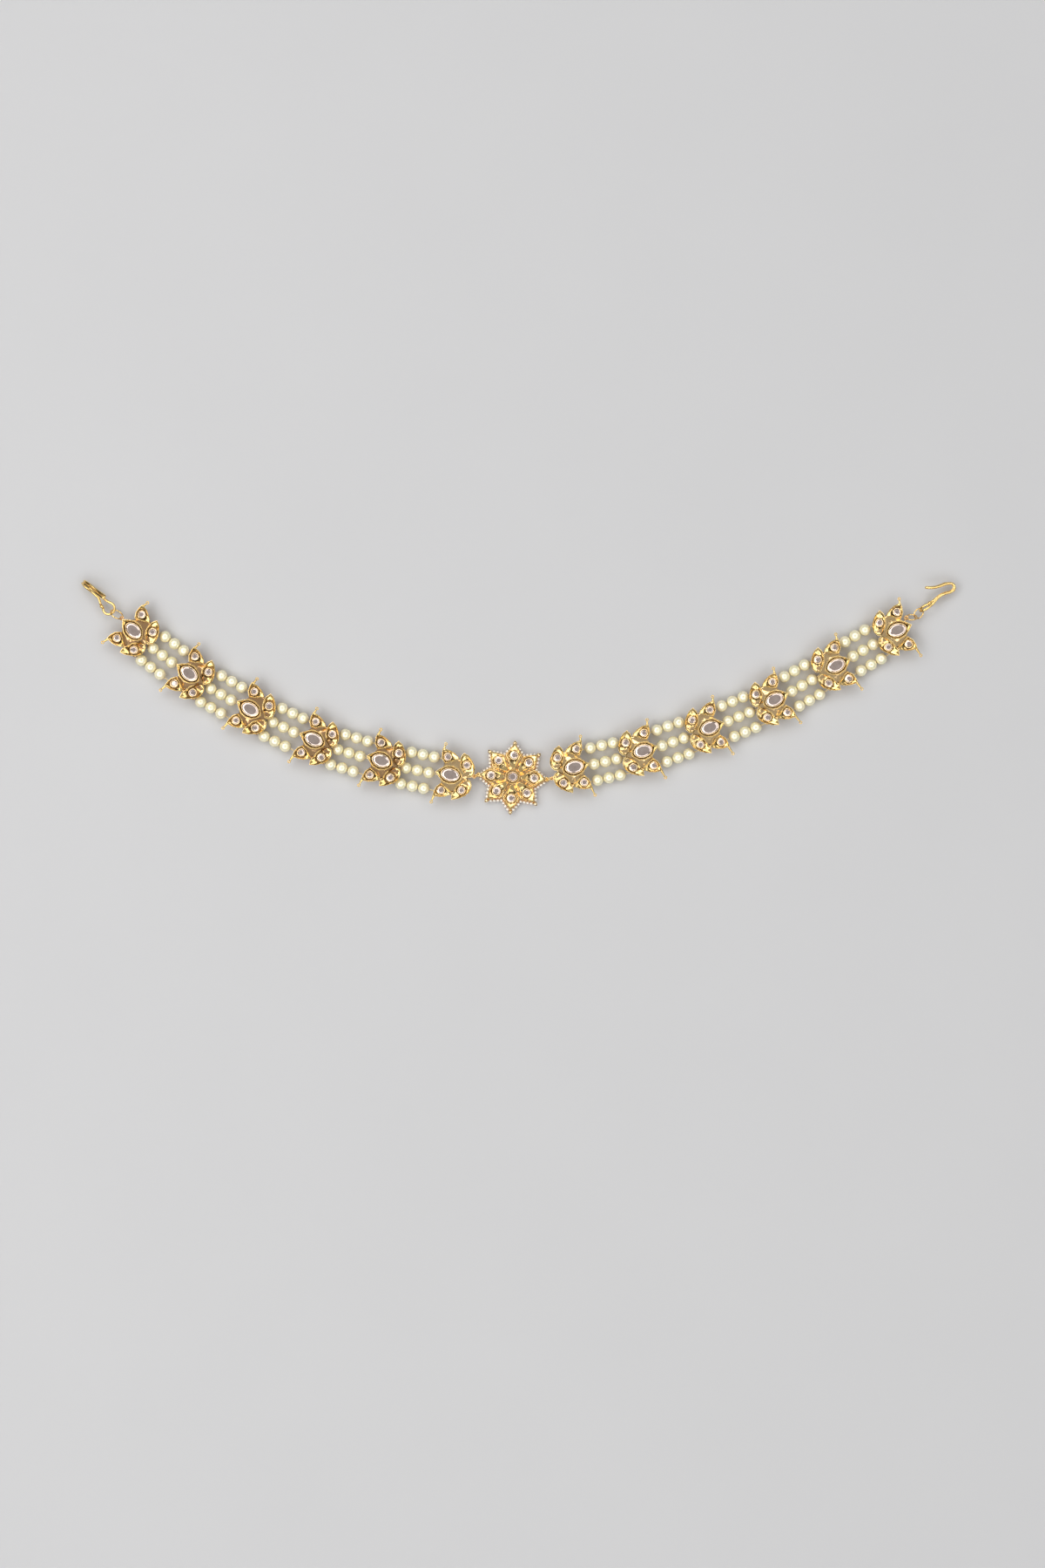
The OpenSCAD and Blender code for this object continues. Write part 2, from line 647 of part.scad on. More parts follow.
flower(LEFT, 6, 1);  // flower_1
flower(LEFT, 5, 2);  // flower_2
flower(LEFT, 4, 3);  // flower_3
flower(LEFT, 3, 4);  // flower_4
flower(LEFT, 2, 5);  // flower_5
flower(LEFT, 1, 6);  // flower_6
flower(RIGHT, 1, 7);  // flower_7
flower(RIGHT, 2, 8);  // flower_8
flower(RIGHT, 3, 9);  // flower_9
flower(RIGHT, 4, 10);  // flower_10
flower(RIGHT, 5, 11);  // flower_11
flower(RIGHT, 6, 12);  // flower_12
middle_stone(LEFT, 6);  // middle_stone_1
middle_stone(LEFT, 5);  // middle_stone_2
middle_stone(LEFT, 4);  // middle_stone_3
middle_stone(LEFT, 3);  // middle_stone_4
middle_stone(LEFT, 2);  // middle_stone_5
middle_stone(LEFT, 1);  // middle_stone_6
middle_stone(RIGHT, 1);  // middle_stone_7
middle_stone(RIGHT, 2);  // middle_stone_8
middle_stone(RIGHT, 3);  // middle_stone_9
middle_stone(RIGHT, 4);  // middle_stone_10
middle_stone(RIGHT, 5);  // middle_stone_11
middle_stone(RIGHT, 6);  // middle_stone_12
petal_stones(LEFT, 6, 1);  // petal_stones_1
petal_stones(LEFT, 5, 2);  // petal_stones_2
petal_stones(LEFT, 4, 3);  // petal_stones_3
petal_stones(LEFT, 3, 4);  // petal_stones_4
petal_stones(LEFT, 2, 5);  // petal_stones_5
petal_stones(LEFT, 1, 6);  // petal_stones_6
petal_stones(RIGHT, 1, 7);  // petal_stones_7
petal_stones(RIGHT, 2, 8);  // petal_stones_8
petal_stones(RIGHT, 3, 9);  // petal_stones_9
petal_stones(RIGHT, 4, 10);  // petal_stones_10
petal_stones(RIGHT, 5, 11);  // petal_stones_11
petal_stones(RIGHT, 6, 12);  // petal_stones_12
pearl_string(LEFT, 1);  // pearls_left_top
pearl_string(LEFT, 0);  // pearls_left_middle
pearl_string(LEFT, -1);  // pearls_left_bottom
pearl_string(RIGHT, 1);  // pearls_right_top
pearl_string(RIGHT, 0);  // pearls_right_middle
pearl_string(RIGHT, -1);  // pearls_right_bottom
thread(LEFT, 1);  // thread_left_top
thread(LEFT, 0);  // thread_left_middle
thread(LEFT, -1);  // thread_left_bottom
thread(RIGHT, 1);  // thread_right_top
thread(RIGHT, 0);  // thread_right_middle
thread(RIGHT, -1);  // thread_right_bottom
star();
star_middle_stone();
star_petal_stones();
seed_pearl_edging();
star_ring(LEFT);  // ring_left
star_ring(RIGHT);  // ring_right
link(end_eye_at(LEFT), left_link_end, 57);  // link_left
link(end_eye_at(RIGHT), inner_link_end, -58);  // link_right_inner
link(outer_link_start, outer_link_end, 38);  // link_right_outer
placed_hook(LEFT, left_hook_eye, 0.9, 0, left_hook_lean);  // hook_left
placed_hook(RIGHT, right_hook_eye, 1, right_hook_roll, 0);  // hook_right
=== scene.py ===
# %% [markdown]
# # A row of jewelled flowers, from solid parts to a picture
# The object is a hair ornament: twelve gold flowers set with cut stones, joined by
# three strings of pearls on each side of a star, with a wire hook at each end. It
# lies face up on a pale table. Its solid parts are already made to size. This lesson
# turns them into what the eye sees: polished edges, settings round the stones, a
# border of seed pearls, metal, glass and pearl. We start by loading the solid parts,
# which never move, and by noting how big they are.

# %% Load the solid parts
import json
import math
from collections import namedtuple
import bpy
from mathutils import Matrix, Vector

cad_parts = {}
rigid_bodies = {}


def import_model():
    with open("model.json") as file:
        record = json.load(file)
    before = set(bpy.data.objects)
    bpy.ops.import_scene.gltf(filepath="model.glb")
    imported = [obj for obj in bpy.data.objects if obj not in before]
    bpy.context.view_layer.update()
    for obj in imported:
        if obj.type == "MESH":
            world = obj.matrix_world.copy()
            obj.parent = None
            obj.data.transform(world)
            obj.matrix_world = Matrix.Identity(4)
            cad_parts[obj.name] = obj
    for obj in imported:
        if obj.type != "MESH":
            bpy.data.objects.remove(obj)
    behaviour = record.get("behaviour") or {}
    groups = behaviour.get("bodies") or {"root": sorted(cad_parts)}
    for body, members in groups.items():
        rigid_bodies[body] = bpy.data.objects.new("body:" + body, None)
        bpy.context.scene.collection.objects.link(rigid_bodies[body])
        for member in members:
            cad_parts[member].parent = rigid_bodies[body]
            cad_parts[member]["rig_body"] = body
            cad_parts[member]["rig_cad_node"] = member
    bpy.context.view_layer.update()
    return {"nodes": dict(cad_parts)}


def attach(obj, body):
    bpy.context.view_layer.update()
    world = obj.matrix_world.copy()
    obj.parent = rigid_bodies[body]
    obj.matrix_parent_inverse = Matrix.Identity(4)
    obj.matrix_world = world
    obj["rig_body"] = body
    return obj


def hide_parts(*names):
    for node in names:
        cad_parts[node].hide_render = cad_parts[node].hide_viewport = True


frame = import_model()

nodes = frame["nodes"]
MM = 0.001

# %% [markdown]
# ## The camera
# The photograph looks straight down. One of its pixels is 0.3 mm at the height of
# the pearls, so its long side shows 540 mm. A camera 1.2 m up needs an 80 mm lens
# for that: sensor size times distance, divided by the width that it sees. A longer
# distance with a longer lens would flatten the domes of the pearls, a shorter one
# would show too much of their sides. The plain "Standard" view keeps gold yellow:
# the default view turns bright colours pale.

# %% Set the camera
VIEW_LONG = 540 * MM
VIEW_MIDDLE = (3.4 * MM, -2.5 * MM)
CAMERA_UP = 1200 * MM
PEARLS_UP = 2 * MM
camera_data = bpy.data.cameras.new("camera")
camera = bpy.data.objects.new("camera", camera_data)
bpy.context.scene.collection.objects.link(camera)
camera.location = (*VIEW_MIDDLE, CAMERA_UP)
camera_data.sensor_width = 36
camera_data.lens = camera_data.sensor_width * (CAMERA_UP - PEARLS_UP) / VIEW_LONG
camera_data.clip_start = 0.01
camera_data.clip_end = 20
bpy.context.scene.camera = camera
bpy.context.scene.view_settings.view_transform = "Standard"
print("lens in mm:", round(camera_data.lens, 1))

# %% [markdown]
# ## One way to add a node
# A material is a graph of nodes. By hand one would add each node from the menu, set
# its options and draw its links. In a script one function does all three. It takes
# the node's type, its settings, which come first because some of them change the
# sockets, and then a value or a link for each socket.

# %% Add a node and fill its sockets
def plug(tree, slot, value):
    if isinstance(value, Signal):
        tree.links.new(value.socket, slot)
    else:
        slot.default_value = value


def add_node(tree, kind, settings=None, sockets=None, output=0):
    node = tree.nodes.new(kind)
    for name, value in (settings or {}).items():
        if name == "stops":
            ramp = node.color_ramp
            while len(ramp.elements) < len(value):
                ramp.elements.new(0.5)
            for element, (place, colour) in zip(ramp.elements, value):
                element.position, element.color = place, colour
        else:
            setattr(node, name, value)
    for socket, value in (sockets or {}).items():
        plug(tree, node.inputs[socket], value)
    return Signal(tree, node.outputs[output])


print("nodes can be added")

# %% [markdown]
# ## Sums that become nodes
# Sums that are written as a list of links are hard to read. So one small class wraps
# a socket and lets Python's own signs add the Math nodes: `1 - above` builds one. A
# sum of plain numbers is worked out in Python and needs no node.

# %% Sockets that can be added and multiplied
class Signal:
    def __init__(self, tree, socket):
        self.tree, self.socket = tree, socket

    def maths(self, operation, *values):
        return add_node(self.tree, "ShaderNodeMath", {"operation": operation},
                        dict(enumerate(values)))

    def __add__(self, other):
        return self.maths("ADD", self, other)

    def __sub__(self, other):
        return self.maths("SUBTRACT", self, other)

    def __rsub__(self, other):
        return self.maths("SUBTRACT", other, self)

    def __mul__(self, other):
        return self.maths("MULTIPLY", self, other)

    __radd__, __rmul__ = __add__, __mul__


print("sums can be written as signs")

# %% [markdown]
# ## One start for every finish
# Gold, pearl, glass and cotton all begin with the same shader and ask for the same
# few things: where a point lies, a soft speckle of a certain size, a blend of two
# colours, a bump. Colours are blended by a Mix node, because a Math node would turn
# them grey. What is the same all over a piece is set on the shader itself, and only
# what changes from place to place is linked.

# %% What all finishes share
class Finish:
    def __init__(self, name, **constants):
        self.material = bpy.data.materials.new(name)
        self.material.use_nodes = True
        self.tree = self.material.node_tree
        self.shader = self.tree.nodes["Principled BSDF"]
        self.feed(**constants)

    def feed(self, **sockets):
        for socket, value in sockets.items():
            plug(self.tree, self.shader.inputs[socket.replace("_", " ")], value)

    def node(self, kind, settings=None, sockets=None, output=0):
        return add_node(self.tree, kind, settings, sockets, output)

    def place(self):
        return self.node("ShaderNodeTexCoord", output="Object")

    def height(self):
        return self.node("ShaderNodeSeparateXYZ", sockets={0: self.place()}, output="Z")

    def speckle(self, size_mm, detail=2.0, roughness=0.5):
        return self.node("ShaderNodeTexNoise", sockets={
            "Vector": self.place(), "Scale": 1 / (size_mm * MM),
            "Detail": detail, "Roughness": roughness})

    def smooth(self, value, low, high):
        return self.node("ShaderNodeMapRange", {"interpolation_type": "SMOOTHSTEP"},
                         {"Value": value, "From Min": low, "From Max": high})

    def mix(self, factor, first, second):
        return self.node("ShaderNodeMix", {"data_type": "RGBA"},
                         {0: factor, 6: first, 7: second}, output=2)

    def bump(self, height, depth_mm, strength):
        self.feed(Normal=self.node("ShaderNodeBump", sockets={
            "Height": height, "Distance": depth_mm * MM, "Strength": strength}))


print("finishes can be built")

# %% [markdown]
# ## How gold gets its colour
# The flowers are cast, gilded and polished. Gold is a metal: its colour lives in its
# reflections, and the base colour only tints them. A soft speckle a few millimetres
# wide shifts the tint between orange and yellow. A finer one changes how sharp the
# reflections are, and a very shallow bump bends them as hammered metal does. Two
# things change with the place. The back plate, which is known by its height, gets a
# duller colour and is more beaten. The hollows get painted shade: dark brown that
# stands in for the shade and the dark reflections deep in the cups. How deep a point
# lies in a hollow is a number stored in the mesh, which a later step works out. A
# piece with less painted shade needs a higher number before it turns brown. A painted
# image would do all this too, but it would first need each flower unwrapped, while
# noise in object coordinates needs nothing.

# %% A recipe for gold
ORANGE_GOLD = (1.0, 0.63, 0.19, 1.0)
YELLOW_GOLD = (1.0, 0.78, 0.36, 1.0)
# Painted shade: the dark brown painted deep in the hollows of the cups.
PAINTED_SHADE = (0.14, 0.075, 0.025, 1.0)
BEATEN = 7
DENT_MM = 0.12


# The last argument raises the depth at which the painted shade begins.
def gold_finish(name, plate, plate_mm, pale=YELLOW_GOLD, dent=0.5, less_shade=0.0):
    gold = Finish(name, Metallic=1.0)
    tint = gold.mix(gold.speckle(3.0), ORANGE_GOLD, pale)
    above = gold.smooth(gold.height(), plate_mm[0] * MM, plate_mm[1] * MM)
    hollow = gold.node("ShaderNodeAttribute", {"attribute_name": "hollow"}, output="Fac")
    # Painted shade: the deeper a point lies in a hollow, the more dark brown is painted on it.
    painted_shade_mask = gold.smooth(hollow + gold.speckle(1.6) * 1.2, 1.0 + less_shade, 1.3 + less_shade)
    gold.feed(Base_Color=gold.mix(above, plate, gold.mix(painted_shade_mask, tint, PAINTED_SHADE)),
              Roughness=0.08 + gold.speckle(0.7, 3.0) * 0.16)
    beaten = (1 - above) * gold.speckle(2.0, 1.0) * BEATEN
    gold.bump(gold.speckle(0.8, 1.0) + beaten, DENT_MM, dent)
    return gold.material


print("dents in beaten gold are", BEATEN, "times as deep as in polished gold")

# %% [markdown]
# ## Five golds
# One recipe gives five finishes. The first five flowers look browner than the other
# seven, so there is a browner and a paler gold for them: the browner one has more
# painted shade in its hollows and a darker plate. The star has less painted shade
# still, with a plate that blends into its petals and is darker towards the bottom.
# Wires have neither plate nor hollows. The foil round the stones is purer gold, so it
# is the palest.

# %% Mix the golds
FLOWER_PLATE_MM = (3.19, 3.30)
STAR_PLATE_MM = (0.5, 2.6)
NO_PLATE_MM = (-1.0, 0.2)
DULL_GOLD = (0.80, 0.49, 0.20, 1.0)
# The first gold has more painted shade in its hollows and a darker plate than the second.
browner_gold = gold_finish("browner_gold", (0.74, 0.46, 0.23, 1.0), FLOWER_PLATE_MM, dent=0.2)
paler_gold = gold_finish("paler_gold", (1.0, 0.72, 0.38, 1.0), FLOWER_PLATE_MM,
                         (1.0, 0.83, 0.43, 1.0), dent=0.2, less_shade=0.22)
# The star's gold has the least painted shade; its plate is darker towards the bottom.
star_gold = gold_finish("star_gold", (0.84, 0.53, 0.25, 1.0), STAR_PLATE_MM,
                        (1.0, 0.82, 0.45, 1.0), less_shade=0.24)
wire_gold = gold_finish("wire_gold", DULL_GOLD, NO_PLATE_MM)
foil_gold = gold_finish("foil_gold", DULL_GOLD, NO_PLATE_MM, (1.0, 0.93, 0.76, 1.0), dent=0.2)
print("golds:", [g.name for g in (browner_gold, paler_gold, star_gold, wire_gold, foil_gold)])

# %% [markdown]
# ## Pearl
# A pearl is pale stone under many thin clear layers. They mirror a little light in
# the pearl's own colour, which is what a weak metallic share does. The outermost one
# adds a small sharp highlight: a strong, smooth coat. Light that goes in comes out
# warmer, so there is some scattering under the surface. The sides, which look down at
# the table and at their neighbours, get painted shade by their height: a deeper yellow
# that stands in for the warm shade and bounced light between the pearls. A speckle
# wider than one pearl makes neighbours differ slightly.

# %% A recipe for pearl
def pearl_finish(name, pale, warm, side, middle_mm, radius_mm):
    pearl = Finish(name, Metallic=0.12, Coat_Weight=1.0, Coat_Roughness=0.03, Coat_IOR=2.5,
                   Subsurface_Weight=0.15, Subsurface_Radius=(1.0, 0.75, 0.35),
                   Subsurface_Scale=0.6 * MM)
    body = pearl.mix(pearl.speckle(6.0, 1.0), warm, pale)
    # Painted shade: the lower a point on the pearl, the more of the yellow side colour is painted
    # on.
    up = pearl.smooth(pearl.height(), (middle_mm - 0.1 * radius_mm) * MM,
                      (middle_mm + 0.75 * radius_mm) * MM)
    pearl.feed(Base_Color=pearl.mix(up, side, body),
               Roughness=0.32 + pearl.speckle(1.5) * 0.10)
    pearl.bump(pearl.speckle(0.8, 1.0), 0.01, 0.3)
    return pearl.material


print("pearl can be mixed")

# %% [markdown]
# ## Cream pearls and white seeds
# The big pearls are cream, and their height is measured on a solid string. The seed
# pearls round the star are whiter, and 1.2 mm thick. Their middles lie as high as
# the middle of the solid border, which is a plain tube a little thicker than they are.

# %% Mix the pearls
SEED_D, BORDER_UP = 1.2, 1.185
heights = [v.co.z / MM for v in nodes["pearls_left_top"].data.vertices]
pearl_up = (min(heights) + max(heights)) / 2
pearl_radius = (max(heights) - min(heights)) / 2
# The third colour of each pearl finish is the painted shade of its lower sides.
pearl_white = pearl_finish("pearl_white", (1.0, 0.95, 0.71, 1.0), (1.0, 0.92, 0.60, 1.0),
                           (1.0, 0.80, 0.28, 1.0), pearl_up, pearl_radius)
seed_white = pearl_finish("seed_white", (1.0, 0.96, 0.90, 1.0), (1.0, 0.90, 0.80, 1.0),
                          (0.95, 0.80, 0.62, 1.0), BORDER_UP, SEED_D / 2)
print("pearls in mm: middle", round(pearl_up, 2), "radius", round(pearl_radius, 2))

# %% [markdown]
# ## Cut stones and thread
# The stones are clear, but dark foil lies behind them, so they look like smoky
# mirrors: each facet shows either the bright lamps or the dark room. True glass in
# such a small closed seat would only turn black, so the finish is a mostly metallic
# gloss with a clear coat, tinted by a broad smoky speckle. The thread is a plain
# twist of cream cotton, whose ply shows as fine slanting waves.

# %% Stones and thread
stone = Finish("smoky_stone", Metallic=0.8, Coat_Weight=1.0, Coat_Roughness=0.02)
stone.feed(Base_Color=stone.mix(stone.speckle(2.2, 3.0, 0.6), (0.46, 0.34, 0.29, 1.0),
                                (0.82, 0.70, 0.64, 1.0)),
           Roughness=0.03 + stone.speckle(1.2) * 0.05)
smoky_stone = stone.material

thread = Finish("cotton", Roughness=0.85)
twist = thread.node("ShaderNodeTexWave", {"wave_type": "BANDS", "bands_direction": "DIAGONAL"},
                    {"Vector": thread.place(), "Scale": 1 / (1.2 * MM), "Distortion": 1.5})
thread.feed(Base_Color=thread.mix(twist, (0.62, 0.50, 0.28, 1.0), (0.82, 0.72, 0.50, 1.0)))
thread.bump(twist, 0.04, 0.6)
cotton = thread.material
print("stone and thread:", smoky_stone.name, cotton.name)

# %% [markdown]
# ## A copy to work on
# An operator acts on all that is selected, so every helper first selects just what
# it needs. A solid part is a heap of loose triangles and must stay as it is. So the
# part is copied, and the copy's points are merged, which joins the triangles into
# one skin. When a piece is done it is given its finish, it rides with the object,
# and it stands for the solid parts that it was made from.

# %% Select, copy and hand over
def only(thing):
    bpy.ops.object.select_all(action="DESELECT")
    thing.select_set(True)
    bpy.context.view_layer.objects.active = thing


def joined_copy(node, name):
    only(nodes[node])
    bpy.ops.object.duplicate()
    copy = bpy.context.view_layer.objects.active
    copy.name = copy.data.name = name
    copy.parent = None
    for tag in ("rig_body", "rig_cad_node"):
        if tag in copy:
            del copy[tag]
    bpy.ops.object.mode_set(mode="EDIT")
    bpy.ops.mesh.select_all(action="SELECT")
    bpy.ops.mesh.remove_doubles(threshold=0.004 * MM)
    bpy.ops.object.mode_set(mode="OBJECT")
    return copy


def stand_for(piece, material, slot, *replaced):
    piece.data.materials.clear()
    piece.data.materials.append(material)
    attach(piece, "root")
    if replaced:
        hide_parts(*replaced)


print("copies can be made")

# %% [markdown]
# ## Softening the flowers
# A solid part has edges without any width, and nothing real has. Light catches on
# the small round of an edge, and on polished gold that bright line is most of what
# one sees. So a bevel less than a tenth of a millimetre wide runs along the sharp
# edges. Where edges are too short for it, the bevel would fold over itself and
# leave dark triangles, so an edge is left out if a point at its end has a
# neighbour closer than 2.2 bevels. A Bevel modifier couldn't choose in that way, so
# the bevel is an operator on selected edges.

# %% Bevel the sharp edges that have room
SHARP_DEG, SMOOTH_DEG, BEVELS_OF_ROOM = 22, 28, 2.2


def room_at_points(mesh):
    room = [1.0] * len(mesh.vertices)
    for edge in mesh.edges:
        first, last = edge.vertices
        length = (mesh.vertices[first].co - mesh.vertices[last].co).length
        room[first], room[last] = min(room[first], length), min(room[last], length)
    return room


def softened(node, material, width_mm):
    piece = joined_copy(node, node + "_polished")
    mesh = piece.data
    room = room_at_points(mesh)
    bpy.ops.object.mode_set(mode="EDIT")
    bpy.ops.mesh.select_mode(type="EDGE")
    bpy.ops.mesh.select_all(action="DESELECT")
    bpy.ops.mesh.edges_select_sharp(sharpness=math.radians(SHARP_DEG))
    bpy.ops.object.mode_set(mode="OBJECT")
    for edge in mesh.edges:
        least = min(room[i] for i in edge.vertices)
        edge.select = edge.select and least > BEVELS_OF_ROOM * width_mm * MM
    for vertex in mesh.vertices:
        vertex.select = False
    bpy.ops.object.mode_set(mode="EDIT")
    bpy.ops.mesh.bevel(offset=width_mm * MM, segments=2, affect="EDGES", clamp_overlap=True)
    bpy.ops.object.mode_set(mode="OBJECT")
    bpy.ops.object.shade_smooth_by_angle(angle=math.radians(SMOOTH_DEG))
    stand_for(piece, material, "gold", node)
    return piece


print("edges over", SHARP_DEG, "degrees will be bevelled")

# %% [markdown]
# ## Twelve flowers
# The flowers are alike but not the same, so each one is softened from its own solid.
# Twelve copies of one model would be less work, but would lose their differences.

# %% Soften the flowers
# The first five flowers take the gold with more painted shade.
FLOWERS, LAST_BROWNER = 12, 5
flowers = [softened(f"flower_{n}", browner_gold if n <= LAST_BROWNER else paler_gold, 0.08)
           for n in range(1, FLOWERS + 1)]
print("flowers:", len(flowers), "faces in one:", len(flowers[0].data.polygons))

# %% [markdown]
# ## The star and the wires
# The star gets the same treatment. The hooks, links and rings are round wire. A
# curve with a round bevel would make wire too, but the solid wire has the right bends
# already, it only looks faceted. There is no edge to bevel, and smooth shading over
# the joined copy is enough.

# %% Soften the star, round the wires
star = softened("star", star_gold, 0.07)
wires = []
for node in sorted(nodes):
    if node.startswith(("hook", "link", "ring")):
        wire = joined_copy(node, node + "_round")
        bpy.ops.object.shade_smooth_by_angle(angle=math.radians(50))
        stand_for(wire, wire_gold, "gold", node)
        wires.append(wire)
print("star faces:", len(star.data.polygons), "wires:", [w.name for w in wires])

# %% [markdown]
# ## Where the stones sit
# Each stone gets a new cut and a collar of thin gold foil, so the script must know
# where the stones are. One node holds several, so a copy of it is parted into its
# loose pieces. A piece's foot, the ring of its lowest points, tells the middle of
# the seat, its half length and half width, and which way it lies. A long foot has
# its own direction, while a round one, with eight or ten points, has none.

# %% Measure a stone
Seat = namedtuple("Seat", "middle turn half wide height")
ROUND_FEET = (8, 10)


def loose_pieces(node):
    copy = joined_copy(node, node + "_measured")
    bpy.ops.object.mode_set(mode="EDIT")
    bpy.ops.mesh.select_all(action="SELECT")
    bpy.ops.mesh.separate(type="LOOSE")
    bpy.ops.object.mode_set(mode="OBJECT")
    pieces = []
    for piece in list(bpy.context.selected_objects):
        pieces.append([v.co.copy() for v in piece.data.vertices])
        bpy.data.objects.remove(piece)
    return pieces


def measured_seat(points):
    low = min(p.z for p in points)
    foot = [p for p in points if p.z < low + 0.05 * MM]
    middle = sum(foot, Vector()) / len(foot)
    spread = [p - middle for p in foot]
    height = max(p.z for p in points) - low
    if len(foot) in ROUND_FEET:
        radius = max(s.length for s in spread)
        return Seat(middle, 0.0, radius, radius, height)
    turn = 0.5 * math.atan2(2 * sum(s.x * s.y for s in spread),
                            sum(s.x ** 2 - s.y ** 2 for s in spread))
    along = Vector((math.cos(turn), math.sin(turn), 0))
    across = Vector((-along.y, along.x, 0))
    return Seat(middle, turn, max(abs(s.dot(along)) for s in spread),
                max(abs(s.dot(across)) for s in spread), height)


print("a seat is told by its", ", ".join(Seat._fields))

# %% [markdown]
# ## A list of seats
# The seats are kept by flower, with the middle stone first, and the star is number
# nought. The same list serves for the cut, for the hollows and for the foil.

# %% Find all the seats
STAR = 0
seats = {}
for number in range(1, FLOWERS + 1):
    seats[number] = [measured_seat(points)
                     for node in (f"middle_stone_{number}", f"petal_stones_{number}")
                     for points in loose_pieces(node)]
seats[STAR] = [measured_seat(points) for node in ("star_middle_stone", "star_petal_stones")
               for points in loose_pieces(node)]
print("seats:", sum(len(found) for found in seats.values()))

# %% [markdown]
# ## Rings that are pulled into a solid
# Stones and collars are built in the same way, as by hand: a ring of points is
# extruded, and the new ring is scaled, turned and lifted, again and again. The work
# is done at the middle of the scene, where scaling needs no thought, and the finished
# shape is turned and moved to its seat in edit mode, which leaves the object itself
# at the origin. With no window, a turn goes the other way round, hence the minus.

# %% Start, pull and put a ring
def start_ring(points, half, wide, name):
    bpy.ops.object.select_all(action="DESELECT")
    bpy.ops.mesh.primitive_circle_add(vertices=points, radius=1.0, location=(0, 0, 0))
    ring = bpy.context.view_layer.objects.active
    ring.name = ring.data.name = name
    bpy.ops.object.mode_set(mode="EDIT")
    bpy.ops.mesh.select_all(action="SELECT")
    bpy.ops.transform.resize(value=(half, wide, 1), center_override=(0, 0, 0))
    return ring


def pull_ring(before, after):
    """Extrudes the ring from one (half, wide, height) to the next."""
    bpy.ops.mesh.extrude_edges_move()
    bpy.ops.transform.resize(value=(after[0] / before[0], after[1] / before[1], 1),
                             center_override=(0, 0, 0))
    bpy.ops.transform.translate(value=(0, 0, after[2] - before[2]))


def put(middle, turn):
    bpy.ops.mesh.select_all(action="SELECT")
    bpy.ops.mesh.normals_make_consistent(inside=False)
    bpy.ops.transform.rotate(value=-turn, orient_axis="Z", center_override=(0, 0, 0))
    bpy.ops.transform.translate(value=middle)
    bpy.ops.object.mode_set(mode="OBJECT")


print("rings can be pulled")

# %% [markdown]
# ## Cutting a stone
# An old-style stone is flat at the back, thickest at its girdle and has two rows of
# low facets up to a wide flat table. The solid stones could be kept, but they are
# simpler and steeper, and the slope of the facets matters more than their number.
# Seen from above, a facet mirrors the room at twice its own slope, so facets of
# fifteen to thirty degrees show the lamps and turn white, while the flat table shows
# the dim room overhead and looks smoky. A round stone has eight facets in a row, a
# long one twelve. Nobody sets stones quite level, so each one leans by a few degrees,
# by an amount that its place decides, and a round one is turned a little. The table
# lies lower than on the solid stone: the cut keeps only a share of the rise from the
# girdle, or the wide table would leave the facets too steep.

# %% A recipe for a stone
LIP_MM = 0.39
GIRDLE_MM = LIP_MM + 0.03
FOOT = 0.92
ROW_UP = 0.58
Cut = namedtuple("Cut", "facets row table rise lean_deg")
ROUND_CUT = Cut(facets=8, row=0.80, table=0.60, rise=0.65, lean_deg=6)
LONG_CUT = Cut(facets=12, row=0.87, table=0.73, rise=0.50, lean_deg=3)


def cut_stone(seat, name):
    half, wide = seat.half, seat.wide
    is_round = half == wide
    cut = ROUND_CUT if is_round else LONG_CUT
    foot = (FOOT * half, FOOT * wide, 0.0)
    girdle = (half, wide, GIRDLE_MM * MM)
    crown = cut.rise * (seat.height - girdle[2])
    row = (cut.row * half, cut.row * wide, girdle[2] + ROW_UP * crown)
    table = (cut.table * half, cut.table * wide, girdle[2] + crown)
    made = start_ring(cut.facets, foot[0], foot[1], name)
    bpy.ops.mesh.edge_face_add()
    bpy.ops.mesh.select_all(action="SELECT")
    for before, after in ((foot, girdle), (girdle, row), (row, table)):
        pull_ring(before, after)
    bpy.ops.mesh.edge_face_add()
    bpy.ops.mesh.select_all(action="SELECT")
    lean = math.radians(cut.lean_deg)
    for axis, share in (("X", math.sin(7000 * seat.middle.x)),
                        ("Y", math.cos(9000 * seat.middle.y))):
        bpy.ops.transform.rotate(value=lean * share, orient_axis=axis,
                                 center_override=(0, 0, girdle[2]))
    put(seat.middle, seat.turn + 0.4 * math.sin(900 * seat.middle.x) * is_round)
    return made


print("round stones:", ROUND_CUT, "long stones:", LONG_CUT)

# %% [markdown]
# ## One piece from many
# Stones whose solids share a part are joined into one piece, which stands for that
# part. They could stay apart, but then each would need a part of its own to stand
# for. Collars, pearls and beads are joined in the same way.

# %% Join pieces
def joined(parts, name, material, slot, *replaced):
    only(parts[0])
    for part in parts[1:]:
        part.select_set(True)
    bpy.ops.object.join()
    piece = bpy.context.view_layer.objects.active
    piece.name = piece.data.name = name
    stand_for(piece, material, slot, *replaced)
    return piece


print("pieces can be joined")

# %% [markdown]
# ## Setting the stones
# Every seat gets its stone: one for the middle cup, the others for the petals. They
# come in four sizes, and one model of each could be copied. Cutting every stone to
# the measures of its seat needs no list of sizes and lets it lean in its own way.
# Its edges are sharp, but not endlessly so. A single bevel of a fortieth of a
# millimetre gives each facet the thin bright outline that makes it readable. This
# bevel is a modifier, applied at once, because all edges over eight degrees take it.

# %% Cut every stone
STONE_EDGE_MM, STONE_EDGE_DEG = 0.025, 8


